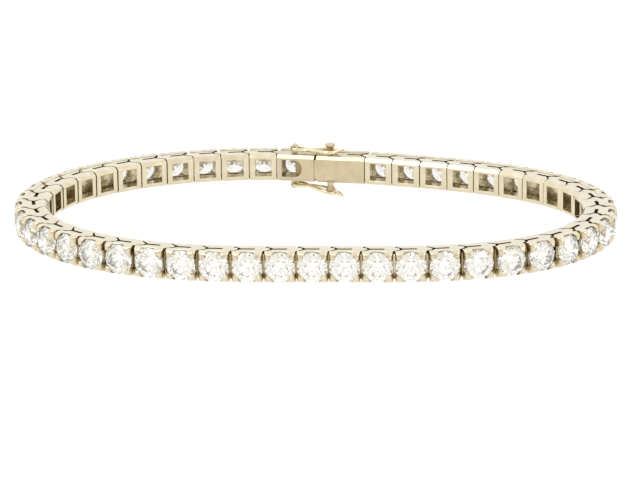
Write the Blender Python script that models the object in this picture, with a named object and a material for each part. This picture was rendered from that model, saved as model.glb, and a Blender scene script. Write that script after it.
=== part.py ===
"""Tennis bracelet: a closed chain of box links, each with one round brilliant in four
corner prongs, joined by a box clasp with two figure-eight safety catches.

The bracelet lies on its side, so the wrist hollow is open along Z. Lengths are metres.
A link's own frame has X along the chain, Y towards the wrist and Z up, and its origin is
the axis of the pin that carries the link before it.
"""
import math

import bmesh
import bpy
from mathutils import Matrix, Vector

# Chain
LINK_COUNT = 46
PITCH = 0.0036
INNER_GAP = 0.00048
RAIL_GAP = 0.00020
HEAD_GAP = 0.00014

# Link body: a box frame, open to the wrist
INNER_REACH = 0.00170
RAIL_REACH = 0.00094
BASE_HEIGHT = 0.00325
INNER_CHAMFER = 0.00036
WINDOW_LENGTH = 0.00200
WINDOW_HEIGHT = 0.00210

# Hinge between links: a pin between two noses, through the end wall of the next link
PIN_SETBACK = 0.00033
PIN_RADIUS = 0.00012
PIN_CLEARANCE = 0.00010
NOSE_THICKNESS = 0.00036
NOSE_HALF_WIDTH = 0.00085
NOSE_TIP_HALF_WIDTH = 0.00020
NOSE_TIP_REACH = 0.00018
NOSE_CLEARANCE = 0.00010
NOTCH_HALF_WIDTH = 0.00100
NOTCH_DEPTH = 0.00095
SLOT_WIDTH = 0.00020
SLOT_LENGTH = 0.00145

# Head: collar and four corner prongs round the stone
HEAD_HEIGHT = 0.00345
COLLAR_RISE = 0.00005
PRONG_GRIP = 0.00010
PRONG_RISE = 0.00126

# Stone
STONE_DIAMETER = 0.00340
TABLE_SHARE = 0.57
CROWN_HEIGHT = 0.00053
PAVILION_DEPTH = 0.00146
GIRDLE_ABOVE_RAIL = 0.00081
STONE_SIDES = 8

# Clasp: the box is shorter than the pitches of its stones, so that the last head stands over the neck
BOX_STONES = 2
BOX_SHORTFALL = 0.00100
CLASP_GAP = 0.00015
NECK_LENGTH = 0.00125
NECK_RECESS = 0.00035
BOX_FLOOR = 0.00050
CAVITY_DEPTH = 0.00500
CAVITY_HEIGHT = 0.00220
CAVITY_WIDTH = 0.00130
TONGUE_CLEARANCE = 0.00015
TONGUE_LEAF = 0.00032
THUMB_NOTCH_LENGTH = 0.00023
THUMB_NOTCH_WIDTH = 0.00090
THUMB_NOTCH_HEIGHT = 0.00045

# Safety catches
KNOB_SETBACK = 0.00170
KNOB_HEIGHT = 0.00130
KNOB_HEAD_RADIUS = 0.00055
KNOB_WAIST_RADIUS = 0.00034
KNOB_FOOT_RADIUS = 0.00047
KNOB_WAIST_HEIGHT = 0.00058
KNOB_RIM = 0.00013
KNOB_DISH = 0.00026
KNOB_ROOT = 0.00020
HINGE_SETBACK = 0.00260
HINGE_HEIGHT = 0.00062
HINGE_HALF_LENGTH = 0.00050
HINGE_WALL = 0.00016
CATCH_OFFSET = 0.00020
CATCH_WIRE_RADIUS = 0.00020
CATCH_CLEARANCE = 0.00010
CATCH_SINK = 0.00020
KNOB_CLEARANCE = 0.00030
WAIST_SHARE = 0.40
WAIST_CROSSING = 0.00016
STIRRUP_HALF_WIDTH = 0.00058
FINGER_LENGTH = 0.00085
FINGER_LIFT = 0.00035
FINGER_SWELL = (0.9, 1.15, 1.0, 0.55)
LOWER_CATCH_OPEN = math.radians(12.0)

# Fineness of the round shapes
PIN_SIDES = 5
PIN_HOLE_SIDES = 6
ROUND_SIDES = 10
BORE_SIDES = 8
LOOP_STEPS = 10
WIRE_BEVEL_STEPS = 1

# Route of the chain's mid-line, as shares of its half width: a closed B-spline's points
ROUTE = [
    (0.32, 0.57), (-0.05, 0.70), (-0.45, 0.70), (-0.81, 0.53), (-1.04, 0.19),
    (-1.00, -0.22), (-0.74, -0.53), (-0.36, -0.67), (0.03, -0.67), (0.42, -0.72),
    (0.82, -0.61), (1.05, -0.26), (0.99, 0.16), (0.68, 0.43),
]
ROUTE_START = 0.23

# Worked out from the sizes above
RAIL_SHARE = INNER_REACH / (INNER_REACH + RAIL_REACH)
BODY_LENGTH = PITCH - INNER_GAP - (RAIL_GAP - INNER_GAP) * RAIL_SHARE
BASE_HALF = BASE_HEIGHT / 2
PIN_HOLE = PIN_RADIUS + PIN_CLEARANCE
NOSE_FLOOR = BASE_HALF - NOSE_THICKNESS
STONE_RADIUS = STONE_DIAMETER / 2
GIRDLE_Y = -(RAIL_REACH + GIRDLE_ABOVE_RAIL)
PRONG_TIP_Y = -(RAIL_REACH + PRONG_RISE)
BOX_LENGTH = PITCH * BOX_STONES - BOX_SHORTFALL
TONGUE_START = BOX_LENGTH - PIN_SETBACK + CLASP_GAP
FRAME_START = TONGUE_START + NECK_LENGTH
CLASP_SPAN = FRAME_START + PITCH + PIN_SETBACK
KNOB_X = BOX_LENGTH - PIN_SETBACK - KNOB_SETBACK
HINGE_X = TONGUE_START + HINGE_SETBACK
OVERCUT = 0.0006


def new_collection(name):
    collection = bpy.data.collections.new(name)
    bpy.context.scene.collection.children.link(collection)
    return collection


def new_material(name, colour, roughness, metallic):
    material = bpy.data.materials.new(name)
    material.use_nodes = True
    shader = material.node_tree.nodes["Principled BSDF"]
    shader.inputs["Base Color"].default_value = (*colour, 1.0)
    shader.inputs["Roughness"].default_value = roughness
    shader.inputs["Metallic"].default_value = metallic
    return material


def object_from_bmesh(name, bm):
    """A new object in the cutters collection, holding the given shape."""
    bmesh.ops.recalc_face_normals(bm, faces=bm.faces)
    mesh = bpy.data.meshes.new(name)
    bm.to_mesh(mesh)
    bm.free()
    shape = bpy.data.objects.new(name, mesh)
    shape.hide_render = True
    shape.display_type = "WIRE"
    CUTTERS.objects.link(shape)
    return shape


def block(name, low, high, turn=None):
    """A box between two corners, turned about its own centre when turn is given."""
    low, high = Vector(low), Vector(high)
    bm = bmesh.new()
    bmesh.ops.create_cube(bm, size=1.0)
    bmesh.ops.scale(bm, vec=high - low, verts=bm.verts)
    if turn is not None:
        bmesh.ops.transform(bm, matrix=turn, verts=bm.verts)
    bmesh.ops.translate(bm, vec=(low + high) / 2, verts=bm.verts)
    return object_from_bmesh(name, bm)


def rod(name, centre, radius, length, axis, sides):
    """A cylinder about Z or Y through its centre."""
    bm = bmesh.new()
    bmesh.ops.create_cone(
        bm, cap_ends=True, segments=sides, radius1=radius, radius2=radius, depth=length
    )
    if axis == "Y":
        quarter = Matrix.Rotation(math.pi / 2, 3, "X")
        bmesh.ops.rotate(bm, cent=(0, 0, 0), matrix=quarter, verts=bm.verts)
    bmesh.ops.translate(bm, vec=centre, verts=bm.verts)
    return object_from_bmesh(name, bm)


def slab(name, outline, z_low, z_high):
    """An outline in the XY plane, extruded from z_low to z_high."""
    bm = bmesh.new()
    face = bm.faces.new([bm.verts.new((x, y, z_low)) for x, y in outline])
    moved = bmesh.ops.extrude_face_region(bm, geom=[face])["geom"]
    raised = [item for item in moved if isinstance(item, bmesh.types.BMVert)]
    bmesh.ops.translate(bm, vec=(0, 0, z_high - z_low), verts=raised)
    return object_from_bmesh(name, bm)


def turned(name, profile, sides):
    """A solid of revolution about Z, from (radius, height) points that start and end on the axis."""
    bm = bmesh.new()
    points = [bm.verts.new((radius, 0, height)) for radius, height in profile]
    edges = [bm.edges.new(pair) for pair in zip(points, points[1:])]
    bmesh.ops.spin(
        bm, geom=points + edges, cent=(0, 0, 0), axis=(0, 0, 1), angle=math.tau, steps=sides,
        use_merge=True,
    )
    bmesh.ops.remove_doubles(bm, verts=bm.verts, dist=1e-7)
    return object_from_bmesh(name, bm)


def combine(target, tools, operation):
    """Add each tool to the target, or cut it away, in order."""
    for tool in tools:
        step = target.modifiers.new(tool.name, "BOOLEAN")
        step.operation = operation
        step.object = tool
    return target


def settled_mesh(shape, name):
    """The shape's finished mesh, with flat faces merged, once its cuts and unions are applied."""
    bpy.context.view_layer.update()
    evaluated = shape.evaluated_get(bpy.context.evaluated_depsgraph_get())
    mesh = bpy.data.meshes.new_from_object(evaluated)
    mesh.name = name
    bm = bmesh.new()
    bm.from_mesh(mesh)
    bmesh.ops.remove_doubles(bm, verts=bm.verts, dist=1e-7)
    bmesh.ops.dissolve_limit(bm, angle_limit=math.radians(0.2), verts=bm.verts, edges=bm.edges)
    bmesh.ops.triangulate(bm, faces=bm.faces)
    bm.to_mesh(mesh)
    bm.free()
    return mesh


def end_offset(y, gap_at_inner, gap_at_rail):
    """Half the gap between two straight links, at a distance y towards the wrist."""
    share = (INNER_REACH - y) / (INNER_REACH + RAIL_REACH)
    return (gap_at_inner + (gap_at_rail - gap_at_inner) * share) / 2


def body_outline(start, end, slope_start=True, slope_end=True):
    """Side view of a body, from where its end faces cross the line of the pins."""
    middle = end_offset(0, INNER_GAP, RAIL_GAP)
    inner = end_offset(INNER_REACH, INNER_GAP, RAIL_GAP) - middle
    rail = end_offset(-RAIL_REACH, INNER_GAP, RAIL_GAP) - middle
    return [
        (start + inner * slope_start, INNER_REACH),
        (start + rail * slope_start, -RAIL_REACH),
        (end - rail * slope_end, -RAIL_REACH),
        (end - inner * slope_end, INNER_REACH),
    ]


def nose_outline(end):
    """Side view of a nose that stands out of an end face and holds the pin near its tip."""
    root = end - NOSE_THICKNESS / 2
    tip = end + PITCH - BODY_LENGTH + PIN_SETBACK + NOSE_TIP_REACH
    shoulder = end + NOSE_CLEARANCE / 2
    return [
        (root, -NOSE_HALF_WIDTH), (shoulder, -NOSE_HALF_WIDTH), (tip, -NOSE_TIP_HALF_WIDTH),
        (tip, NOSE_TIP_HALF_WIDTH), (shoulder, NOSE_HALF_WIDTH), (root, NOSE_HALF_WIDTH),
    ]


def chamfer_inner_edges(shape):
    """Bevel the two long edges that lie towards the wrist."""
    bm = bmesh.new()
    bm.from_mesh(shape.data)
    edges = [
        edge for edge in bm.edges
        if all(abs(vert.co.y - INNER_REACH) < 1e-7 for vert in edge.verts)
        and abs(edge.verts[0].co.z - edge.verts[1].co.z) < 1e-7
    ]
    bmesh.ops.bevel(
        bm, geom=edges, offset=INNER_CHAMFER, offset_type="OFFSET", segments=1, affect="EDGES"
    )
    bm.to_mesh(shape.data)
    bm.free()


def add_noses(shape, end):
    """Two noses at the end of a body, one on each side face, with the pin between them."""
    outline = nose_outline(end)
    pin_x = end + PITCH - BODY_LENGTH + PIN_SETBACK
    noses = [
        slab(shape.name + "_upper_nose", outline, NOSE_FLOOR, BASE_HALF),
        slab(shape.name + "_lower_nose", outline, -BASE_HALF, -NOSE_FLOOR),
    ]
    pin_length = 2 * NOSE_FLOOR + NOSE_THICKNESS
    pin = rod(shape.name + "_pin", (pin_x, 0, 0), PIN_RADIUS, pin_length, "Z", PIN_SIDES)
    combine(shape, noses + [pin], "UNION")


def cut_notches(shape):
    """The hole for the pin at the start of a body, and a notch with a sawn slot on each side face."""
    floor = NOSE_FLOOR - NOSE_CLEARANCE
    mouth = -PIN_SETBACK
    apex = mouth + NOTCH_DEPTH
    widening = NOTCH_HALF_WIDTH / NOTCH_DEPTH
    far = OVERCUT
    half_slot = SLOT_WIDTH / 2
    outline = [
        (mouth - far, NOTCH_HALF_WIDTH + far * widening),
        (mouth - far, -NOTCH_HALF_WIDTH - far * widening),
        (apex - half_slot / widening, -half_slot),
        (apex + SLOT_LENGTH, -half_slot),
        (apex + SLOT_LENGTH, half_slot),
        (apex - half_slot / widening, half_slot),
    ]
    cuts = [
        slab(shape.name + "_upper_notch", outline, floor, BASE_HALF + OVERCUT),
        slab(shape.name + "_lower_notch", outline, -BASE_HALF - OVERCUT, -floor),
        rod(shape.name + "_pin_hole", (0, 0, 0), PIN_HOLE, BASE_HEIGHT, "Z", PIN_HOLE_SIDES),
    ]
    combine(shape, cuts, "DIFFERENCE")


def head(name, centre):
    """Four three-sided corner prongs on a thin collar, with an arch between them on each side."""
    half_length = (PITCH - HEAD_GAP) / 2
    half_height = HEAD_HEIGHT / 2
    shape = block(name, (centre - half_length, PRONG_TIP_Y, -half_height),
                  (centre + half_length, -RAIL_REACH + 2 * COLLAR_RISE, half_height))
    reach = STONE_RADIUS - PRONG_GRIP
    seat = block(name + "_seat", (centre - reach, PRONG_TIP_Y - OVERCUT, -reach),
                 (centre + reach, -RAIL_REACH - COLLAR_RISE, reach),
                 Matrix.Rotation(math.pi / 4, 4, "Y"))
    return combine(shape, [seat], "DIFFERENCE")


def stone(name, centre):
    """A faceted stone with its table outwards: flat table, crown and pointed pavilion."""
    profile = [
        (0, -PAVILION_DEPTH),
        (STONE_RADIUS, 0),
        (STONE_RADIUS * TABLE_SHARE, CROWN_HEIGHT),
        (0, CROWN_HEIGHT),
    ]
    shape = turned(name, profile, STONE_SIDES)
    place = Matrix.Translation((centre, GIRDLE_Y, 0)) @ Matrix.Rotation(math.pi / 2, 4, "X")
    shape.data.transform(place)
    return shape


def window(name, centre):
    """The square opening through a frame, from the wrist to the stone."""
    return block(name, (centre - WINDOW_LENGTH / 2, -RAIL_REACH - OVERCUT, -WINDOW_HEIGHT / 2),
                 (centre + WINDOW_LENGTH / 2, INNER_REACH + OVERCUT, WINDOW_HEIGHT / 2))


def link_shape():
    """One link: frame, noses and pin, notches, head and stone as one body."""
    start = -PIN_SETBACK
    end = start + BODY_LENGTH
    centre = (start + end) / 2
    shape = slab("link", body_outline(start, end), -BASE_HALF, BASE_HALF)
    chamfer_inner_edges(shape)
    add_noses(shape, end)
    cut_notches(shape)
    combine(shape, [head("link_head", centre)], "UNION")
    combine(shape, [window("link_window", centre)], "DIFFERENCE")
    combine(shape, [stone("link_stone", centre)], "UNION")
    return shape


def knob(name, side):
    """A turned post with a narrow waist and a flared head, on the upper or lower side face."""
    profile = [
        (0, -KNOB_ROOT), (KNOB_FOOT_RADIUS, -KNOB_ROOT),
        (KNOB_WAIST_RADIUS, KNOB_WAIST_HEIGHT),
        (KNOB_HEAD_RADIUS, KNOB_HEIGHT - KNOB_RIM), (KNOB_HEAD_RADIUS, KNOB_HEIGHT),
        (0, KNOB_HEIGHT - KNOB_DISH),
    ]
    shape = turned(name, profile, ROUND_SIDES)
    turn = Matrix.Identity(4) if side > 0 else Matrix.Rotation(math.pi, 4, "X")
    shape.data.transform(Matrix.Translation((KNOB_X, CATCH_OFFSET, side * BASE_HALF)) @ turn)
    return shape


def thumb_notch(end, side):
    """The cut at an inner corner of the box's mouth, on the upper or lower side face."""
    heights = sorted((side * (BASE_HALF - THUMB_NOTCH_HEIGHT), side * (BASE_HALF + OVERCUT)))
    return block("box_thumb_notch",
                 (end - THUMB_NOTCH_LENGTH, INNER_REACH - THUMB_NOTCH_WIDTH, heights[0]),
                 (end + OVERCUT, INNER_REACH + OVERCUT, heights[1]))


def box_shape():
    """The clasp's box: notches at its start, stones outside, a cavity for the tongue, two knobs."""
    start = -PIN_SETBACK
    end = start + BOX_LENGTH
    shape = slab("box", body_outline(start, end, slope_end=False), -BASE_HALF, BASE_HALF)
    chamfer_inner_edges(shape)
    cut_notches(shape)
    centres = [start + BODY_LENGTH / 2 + PITCH * i for i in range(BOX_STONES)]
    combine(shape, [head(f"box_head_{i}", centre) for i, centre in enumerate(centres)], "UNION")
    cavity_floor = INNER_REACH - BOX_FLOOR
    cavity = block("box_cavity",
                   (end - CAVITY_DEPTH, cavity_floor - CAVITY_WIDTH, -CAVITY_HEIGHT / 2),
                   (end + OVERCUT, cavity_floor, CAVITY_HEIGHT / 2))
    combine(shape, [cavity, thumb_notch(end, 1), thumb_notch(end, -1)], "DIFFERENCE")
    combine(shape, [stone(f"box_stone_{i}", centre) for i, centre in enumerate(centres)], "UNION")
    combine(shape, [knob("upper_knob", 1), knob("lower_knob", -1)], "UNION")
    return shape


def hinge_tube(name, side):
    """A tube on a foot on the upper or lower side face, that holds a catch's wire along Y."""
    bore = CATCH_WIRE_RADIUS + CATCH_CLEARANCE
    centre = Vector((HINGE_X, CATCH_OFFSET, side * (BASE_HALF + HINGE_HEIGHT)))
    tube = rod(name, centre, bore + HINGE_WALL, 2 * HINGE_HALF_LENGTH, "Y", ROUND_SIDES)
    heights = sorted((side * (BASE_HALF - HINGE_WALL), centre.z - side * (bore + HINGE_WALL / 2)))
    half_foot = HINGE_HALF_LENGTH - HINGE_WALL / 2
    foot = block(name + "_foot", (HINGE_X - bore, CATCH_OFFSET - half_foot, heights[0]),
                 (HINGE_X + bore, CATCH_OFFSET + half_foot, heights[1]))
    combine(tube, [foot], "UNION")
    hole = rod(name + "_bore", centre, bore, 2 * HINGE_HALF_LENGTH + OVERCUT, "Y", BORE_SIDES)
    return combine(tube, [hole], "DIFFERENCE")


def folded_tongue():
    """The sprung strip that slides into the box: two leaves joined by a fold at the tip."""
    inner_side = INNER_REACH - BOX_FLOOR - TONGUE_CLEARANCE
    outer_side = inner_side - CAVITY_WIDTH + 2 * TONGUE_CLEARANCE
    half_height = CAVITY_HEIGHT / 2 - TONGUE_CLEARANCE
    tip = TONGUE_START - CLASP_GAP - CAVITY_DEPTH + 2 * TONGUE_CLEARANCE
    blade = block("tongue_blade", (tip, outer_side, -half_height),
                  (TONGUE_START + OVERCUT, inner_side, half_height))
    fold = block("tongue_fold", (tip + 2 * TONGUE_LEAF, outer_side + TONGUE_LEAF, -BASE_HEIGHT),
                 (TONGUE_START - TONGUE_LEAF, inner_side - TONGUE_LEAF, BASE_HEIGHT))
    return combine(blade, [fold], "DIFFERENCE")


def tongue_shape():
    """The clasp's other half: neck, frame with its stone, folded tongue and two hinge tubes."""
    end = FRAME_START + BODY_LENGTH
    centre = (FRAME_START + end) / 2
    shape = slab("tongue", body_outline(TONGUE_START, end, slope_start=False), -BASE_HALF, BASE_HALF)
    chamfer_inner_edges(shape)
    add_noses(shape, end)
    recess = block("neck_recess", (TONGUE_START - OVERCUT, -RAIL_REACH - OVERCUT, -BASE_HEIGHT),
                   (FRAME_START - CLASP_GAP, -RAIL_REACH + NECK_RECESS, BASE_HEIGHT))
    combine(shape, [recess], "DIFFERENCE")
    combine(shape, [head("tongue_head", centre)], "UNION")
    combine(shape, [window("tongue_window", centre)], "DIFFERENCE")
    combine(shape, [stone("tongue_stone", centre)], "UNION")
    parts = [folded_tongue(), hinge_tube("upper_hinge", 1), hinge_tube("lower_hinge", -1)]
    return combine(shape, parts, "UNION")


def wire(name, points, radius, closed=False, swell=None):
    """A round wire along the given points, as a mesh in the cutters collection."""
    curve = bpy.data.curves.new(name, "CURVE")
    curve.dimensions = "3D"
    curve.bevel_depth = radius
    curve.bevel_resolution = WIRE_BEVEL_STEPS
    curve.use_fill_caps = True
    spline = curve.splines.new("POLY")
    spline.points.add(len(points) - 1)
    for i, point in enumerate(points):
        spline.points[i].co = (*point, 1.0)
        spline.points[i].radius = swell[i] if swell else 1.0
    spline.use_cyclic_u = closed
    guide = bpy.data.objects.new(name, curve)
    CUTTERS.objects.link(guide)
    bpy.context.view_layer.update()
    evaluated = guide.evaluated_get(bpy.context.evaluated_depsgraph_get())
    mesh = bpy.data.meshes.new_from_object(evaluated)
    bpy.data.objects.remove(guide)
    bm = bmesh.new()
    bm.from_mesh(mesh)
    bmesh.ops.remove_doubles(bm, verts=bm.verts, dist=1e-7)
    return object_from_bmesh(name, bm)


def catch_height(x):
    """Height of the catch's wire over its hinge axis: it sinks towards the side face."""
    reach = HINGE_X - KNOB_X
    share = min(max(-x / (WAIST_SHARE * reach), 0.0), 1.0)
    return -CATCH_SINK * share * share * (3 - 2 * share)


def catch_shape():
    """A figure-eight: a stirrup through the hinge tube, a loop round the knob and a finger end.

    Its origin is on the hinge axis and it points along -X, over the box.
    """
    reach = HINGE_X - KNOB_X
    waist_x = -WAIST_SHARE * reach
    side_y = HINGE_HALF_LENGTH + CATCH_CLEARANCE + CATCH_WIRE_RADIUS
    bend = side_y - HINGE_HALF_LENGTH
    half = [((waist_x - bend) / 2, STIRRUP_HALF_WIDTH)]
    half += [
        (-bend + bend * math.sin(angle), side_y - bend + bend * math.cos(angle))
        for angle in (0, math.pi / 4, math.pi / 2)
    ]
    stirrup = [(x, y, catch_height(x)) for x, y in half]
    stirrup += [(x, -y, z) for x, y, z in reversed(stirrup)]
    stirrup.append((waist_x - WAIST_CROSSING, 0, -CATCH_SINK))
    shape = wire("catch", stirrup, CATCH_WIRE_RADIUS, closed=True)

    radius = KNOB_HEAD_RADIUS + KNOB_CLEARANCE + CATCH_WIRE_RADIUS
    centre = -reach + KNOB_CLEARANCE / 2
    length = waist_x - centre
    tangent = math.acos(radius / length)
    sweep = math.tau - 2 * tangent
    arc = [tangent + sweep * i / LOOP_STEPS for i in range(LOOP_STEPS + 1)]
    loop = [(centre + radius * math.cos(a), radius * math.sin(a), -CATCH_SINK) for a in arc]
    loop.append((waist_x + WAIST_CROSSING, 0, -CATCH_SINK))
    combine(shape, [wire("catch_loop", loop, CATCH_WIRE_RADIUS, closed=True)], "UNION")

    root = centre - radius
    shares = [i / (len(FINGER_SWELL) - 1) for i in range(len(FINGER_SWELL))]
    finger = [
        (root - FINGER_LENGTH * share, 0, -CATCH_SINK + FINGER_LIFT * share * share)
        for share in shares
    ]
    return combine(shape, [wire("catch_finger", finger, CATCH_WIRE_RADIUS, swell=FINGER_SWELL)], "UNION")


def route_point(share):
    """A point of the closed route, with share running from 0 to the number of its points."""
    index = math.floor(share)
    f = share - index
    weights = ((1 - f) ** 3, 3 * f ** 3 - 6 * f * f + 4, -3 * f ** 3 + 3 * f * f + 3 * f + 1, f ** 3)
    corners = [Vector(ROUTE[(index + i) % len(ROUTE)]) for i in range(4)]
    return sum((corner * (weight / 6) for corner, weight in zip(corners, weights)), Vector((0, 0)))


def step_along(share, distance, scale):
    """The next place on the scaled route that lies the given distance away in a straight line."""
    here = route_point(share) * scale
    low, high = share, share + len(ROUTE) / 4
    for _ in range(40):
        middle = (low + high) / 2
        if (route_point(middle) * scale - here).length < distance:
            low = middle
        else:
            high = middle
    return high


def pin_places(scale):
    """Where the pins sit on the route: the first after the clasp, then one pitch apart."""
    places = [ROUTE_START]
    for _ in range(LINK_COUNT):
        places.append(step_along(places[-1], PITCH, scale))
    return [route_point(place) * scale for place in places]


def closing_route():
    """The route's points at the scale at which the clasp just closes the chain."""
    total = LINK_COUNT * PITCH + CLASP_SPAN
    low, high = total / 12, total / 3
    for _ in range(40):
        scale = (low + high) / 2
        pins = pin_places(scale)
        if (pins[0] - pins[-1]).length < CLASP_SPAN or wraps(pins):
            low = scale
        else:
            high = scale
    return pin_places(high)


def wraps(pins):
    """Whether a chain on a small route has run past its own start."""
    turned_by = 0.0
    for before, here, after in zip(pins, pins[1:], pins[2:]):
        turned_by += (here - before).angle_signed(after - here)
    return abs(turned_by) > math.tau * 0.995


def along(start, end):
    """The frame at start whose X runs to end and whose Y points to the left of that, the wrist."""
    direction = end - start
    turn = Matrix.Rotation(math.atan2(direction.y, direction.x), 4, "Z")
    return Matrix.Translation((start.x, start.y, 0)) @ turn


def add_piece(name, mesh, place, material):
    piece = bpy.data.objects.new(name, mesh)
    BRACELET.objects.link(piece)
    piece.parent = REST
    piece.matrix_basis = place
    mesh.materials.clear()
    mesh.materials.append(material)
    mesh.shade_flat()
    return piece


def corners_of(pieces, turn):
    """All corners of the pieces, as they lie under the rest frame once it takes the given turn."""
    return [turn @ piece.matrix_basis @ vert.co for piece in pieces for vert in piece.data.vertices]


def lowest(pieces, turn):
    return min(corner.z for corner in corners_of(pieces, turn))


def rest_turn(front_pieces, back_pieces):
    """The lean about X that puts the front links and the low catch on one floor."""
    low, high = 0.0, math.radians(20)
    for _ in range(40):
        lean = (low + high) / 2
        turn = Matrix.Rotation(lean, 4, "X")
        if lowest(front_pieces, turn) > lowest(back_pieces, turn):
            low = lean
        else:
            high = lean
    return Matrix.Rotation(high, 4, "X")


for old in list(bpy.data.objects):
    bpy.data.objects.remove(old)
BRACELET = new_collection("tennis_bracelet")
CUTTERS = new_collection("cutters")
REST = bpy.data.objects.new("rest_lean", None)
BRACELET.objects.link(REST)

white_gold = new_material("white_gold", (0.80, 0.75, 0.64), 0.18, 1.0)
clasp_gold = new_material("clasp_gold", (0.78, 0.72, 0.60), 0.22, 1.0)
catch_gold = new_material("catch_gold", (0.83, 0.77, 0.62), 0.15, 1.0)

link_mesh = settled_mesh(link_shape(), "link")
pins = closing_route()
links = []
for number, (pin, next_pin) in enumerate(zip(pins, pins[1:]), start=1):
    links.append(add_piece(f"link_{number:02d}", link_mesh, along(pin, next_pin), white_gold))

clasp_place = along(pins[-1], pins[0])
clasp = [
    add_piece("clasp_box", settled_mesh(box_shape(), "clasp_box"), clasp_place, clasp_gold),
    add_piece("clasp_tongue", settled_mesh(tongue_shape(), "clasp_tongue"), clasp_place, clasp_gold),
]
catch_mesh = settled_mesh(catch_shape(), "safety_catch")
catches = []
for name, side, opened in (("safety_catch_upper", 1, 0.0), ("safety_catch_lower", -1, LOWER_CATCH_OPEN)):
    hinge = clasp_place @ Matrix.Translation((HINGE_X, CATCH_OFFSET, side * (BASE_HALF + HINGE_HEIGHT)))
    facing = Matrix.Identity(4) if side > 0 else Matrix.Rotation(math.pi, 4, "X")
    opening = Matrix.Rotation(opened, 4, "Y")
    catches.append(add_piece(name, catch_mesh, hinge @ facing @ opening, catch_gold))

front = [link for link, pin in zip(links, pins) if pin.y < min(other.y for other in pins) / 2]
turn = rest_turn(front, catches[1:])
corners = corners_of(links + clasp + catches, turn)
middle_x = (min(corner.x for corner in corners) + max(corner.x for corner in corners)) / 2
middle_y = (min(corner.y for corner in corners) + max(corner.y for corner in corners)) / 2
floor_z = min(corner.z for corner in corners)
REST.matrix_world = Matrix.Translation((-middle_x, -middle_y, -floor_z)) @ turn
for cutter in list(CUTTERS.objects):
    bpy.data.objects.remove(cutter)
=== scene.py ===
"""The tennis bracelet as it looks: finely made links, stones, clasp and safety catches.

Lengths are metres. A link's own frame has X along the chain, Y towards the wrist and Z up, and its
origin is the axis of the pin that carries the link before it.
"""

import functools
import math

import bmesh
import bpy
from mathutils import Euler, Matrix, Vector


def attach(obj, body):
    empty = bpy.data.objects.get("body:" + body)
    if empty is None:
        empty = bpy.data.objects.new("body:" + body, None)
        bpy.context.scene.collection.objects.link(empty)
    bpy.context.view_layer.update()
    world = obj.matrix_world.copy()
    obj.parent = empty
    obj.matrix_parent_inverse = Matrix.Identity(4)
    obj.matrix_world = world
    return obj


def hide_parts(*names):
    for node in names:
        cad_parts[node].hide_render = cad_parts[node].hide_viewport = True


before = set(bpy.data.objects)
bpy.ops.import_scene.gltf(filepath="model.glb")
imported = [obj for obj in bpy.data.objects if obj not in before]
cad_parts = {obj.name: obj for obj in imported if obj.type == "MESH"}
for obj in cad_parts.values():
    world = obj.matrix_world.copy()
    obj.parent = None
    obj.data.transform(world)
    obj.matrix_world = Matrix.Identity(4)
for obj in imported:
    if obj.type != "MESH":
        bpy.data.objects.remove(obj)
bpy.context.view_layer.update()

# Chain, as in the solids
LINK_COUNT = 46
PITCH = 0.0036
INNER_GAP = 0.00048
RAIL_GAP = 0.00020
HEAD_GAP = 0.00014
INNER_REACH = 0.00170
RAIL_REACH = 0.00094
BASE_HALF = 0.003250 / 2
INNER_CHAMFER = 0.00036
WINDOW_LENGTH = 0.00200
WINDOW_HEIGHT = 0.00210
EDGE_BEVEL = 0.00004
# How far inside the outline a face lies to take painted shade, and the shares of painted shade on head
# sides facing the next head and on window walls
RECESS_DEPTH = 0.00005
HEAD_SIDE_SHADE = 0.20
WINDOW_SHADE = 0.20
SMOOTH_ANGLE = math.radians(38)
BEVEL_ANGLE = math.radians(32)
FACING = 0.7

# Hinge between links
PIN_SETBACK = 0.00033
PIN_RADIUS = 0.00012
PIN_CLEARANCE = 0.00010
PIN_SIDES = 16
PIN_HOLE_SIDES = 20
NOSE_THICKNESS = 0.00036
NOSE_HALF_WIDTH = 0.00079
NOSE_TIP_HALF_WIDTH = 0.00022
NOSE_TIP_REACH = 0.00014
NOSE_CLEARANCE = 0.00010
NOSE_SINK = 0.00001
NOTCH_HALF_WIDTH = 0.00100
NOTCH_DEPTH = 0.00108
SLOT_WIDTH = 0.00042
SLOT_LENGTH = 0.00132
RIB_REACH = 0.00019
CLOSED_GAP = 0.00010
RIB_WIDTH = 0.00026

# Head and stone
HEAD_HALF_HEIGHT = 0.00345 / 2
COLLAR_RISE = 0.00042
COLLAR_CORNER_RISE = 0.00016
COLLAR_INNER_RADIUS = 0.00146
COLLAR_FLARE = 0.00008
COLLAR_FLARE_RISE = 0.00030
COLLAR_SINK = 0.00010
COLLAR_INSET = 0.00001
COLLAR_ROUNDING = 0.00004
COLLAR_EDGE = 0.00003
COLLAR_STEPS = 64
BEARING_RADIUS = 0.00138
BEARING_DEPTH = 0.00055
BEARING_FLOOR_SHARE = 0.62
STONE_RADIUS = 0.00170
TABLE_SHARE = 0.57
STAR_SHARE = 0.52
LOWER_SHARE = 0.77
CROWN_HEIGHT = 0.00053
PAVILION_DEPTH = 0.00146
GIRDLE_HEIGHT = 0.00007
GIRDLE_ABOVE_RAIL = 0.00081
STONE_TURN = math.radians(137.5)

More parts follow.
